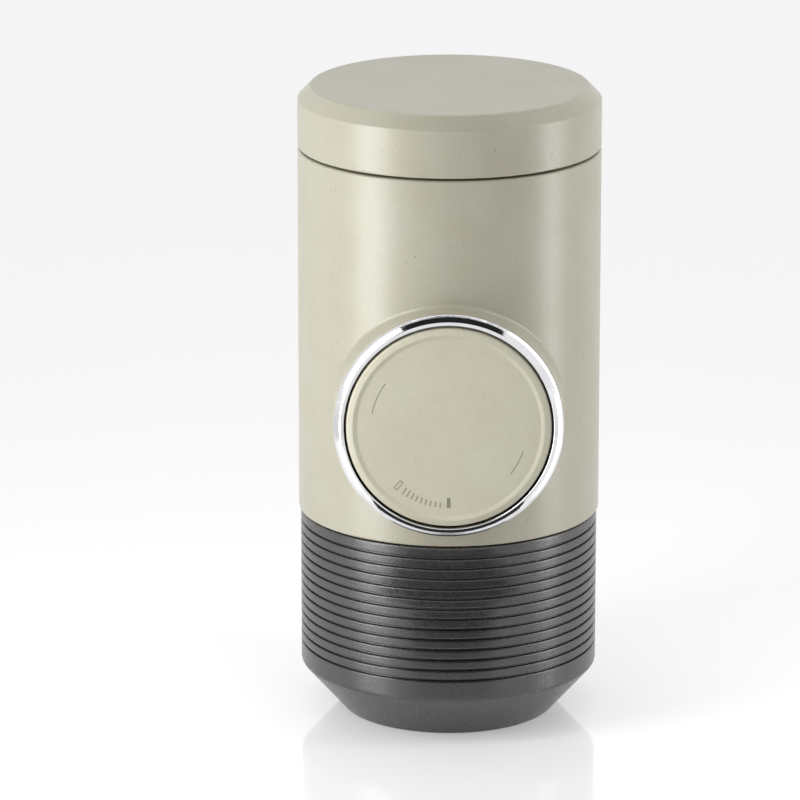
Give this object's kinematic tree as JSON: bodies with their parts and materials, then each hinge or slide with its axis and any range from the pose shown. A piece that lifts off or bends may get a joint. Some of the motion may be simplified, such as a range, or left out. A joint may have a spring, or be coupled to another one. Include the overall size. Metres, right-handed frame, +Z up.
{
  "type": "handheld manual espresso maker",
  "caption": "Handheld espresso maker: a round body with a front pump knob, a screw lid over the water tank and a ribbed cup over the capsule head.",
  "frame": {"origin": "centre of the cup's flat foot, on the surface it stands on", "axes": "+Z up along the body's axis, -Y towards the knob at the front, +X to the right seen from the front"},
  "size_m": [0.065, 0.0718, 0.1383],
  "materials": {
    "stone_plastic": "satin stone-coloured plastic with fine dark specks",
    "dark_plastic": "satin dark grey plastic",
    "black_plastic": "satin black plastic",
    "tank_plastic": "smoky grey plastic",
    "grey_plastic": "plain grey plastic",
    "bezel_chrome": "polished",
    "steel": "stainless",
    "seal_rubber": "silicone"
  },
  "bodies": {
    "housing": {"body_shell": "stone_plastic", "pump_chassis": "black_plastic", "base_plate": "black_plastic", "base_screws": "steel", "tank_liner": "tank_plastic", "neck_ring": "black_plastic", "inlet_filter": "steel", "inlet_tube": "black_plastic", "inlet_valve": "seal_rubber", "pump_cylinder": "grey_plastic", "cylinder_cap": "black_plastic", "guide_collar": "black_plastic", "bezel_ring": "bezel_chrome", "spring_seat": "steel", "return_spring": "steel", "valve_body": "black_plastic", "valve_spring": "steel", "head_socket": "black_plastic", "pierce_plate": "steel", "brew_gasket": "seal_rubber"},
    "lid_seal": {"lid_gasket": "seal_rubber"},
    "lid": {"lid_shell": "stone_plastic", "lid_liner": "black_plastic"},
    "piston": {"piston_rod": "steel", "piston_head": "grey_plastic", "piston_seals": "seal_rubber", "rod_screw": "steel"},
    "knob": {"knob_cap": "stone_plastic", "knob_carrier": "black_plastic", "thrust_washer": "grey_plastic"},
    "valve": {"outlet_valve": "grey_plastic"},
    "head_slip": {"head_washer": "seal_rubber"},
    "head": {"outlet_head": "black_plastic", "capsule_holder": "black_plastic", "foil_grid": "steel", "nozzle": "black_plastic", "cup_seal": "seal_rubber"},
    "cup": {"cup_shell": "dark_plastic"}
  },
  "joints": [
    {"name": "lid_rise", "type": "slide", "parent": "housing", "child": "lid_seal", "axis": [0, 0, 1], "range_m": [0, 0.009]},
    {"name": "lid_turn", "type": "hinge", "parent": "lid_seal", "child": "lid", "pos_m": [0, 0, 0.1317], "axis": [0, 0, 1], "range_deg": [0, 360]},
    {"name": "piston_stroke", "type": "slide", "parent": "housing", "child": "piston", "axis": [0, -1, 0], "range_m": [0, 0.022], "deforming": ["return_spring"]},
    {"name": "knob_turn", "type": "hinge", "parent": "piston", "child": "knob", "pos_m": [0, -0.036, 0.0732], "axis": [0, -1, 0], "range_deg": [0, 43]},
    {"name": "valve_lift", "type": "slide", "parent": "housing", "child": "valve", "axis": [0, 0, -1], "range_m": [0, 0.0012], "stiffness_N_per_m": 60, "springref_m": -0.001, "deforming": ["valve_spring"]},
    {"name": "head_drop", "type": "slide", "parent": "housing", "child": "head_slip", "axis": [0, 0, -1], "range_m": [0, 0.009]},
    {"name": "head_turn", "type": "hinge", "parent": "head_slip", "child": "head", "pos_m": [0, 0, 0.04], "axis": [0, 0, -1], "range_deg": [0, 360]},
    {"name": "cup_pull", "type": "slide", "parent": "head", "child": "cup", "axis": [0, 0, -1], "range_m": [0, 0.05]}
  ],
  "couplings": [
    {"joint": "lid_rise", "follows": "lid_turn", "m_per_rad": 0.001431},
    {"joint": "head_drop", "follows": "head_turn", "m_per_rad": 0.001431}
  ]
}
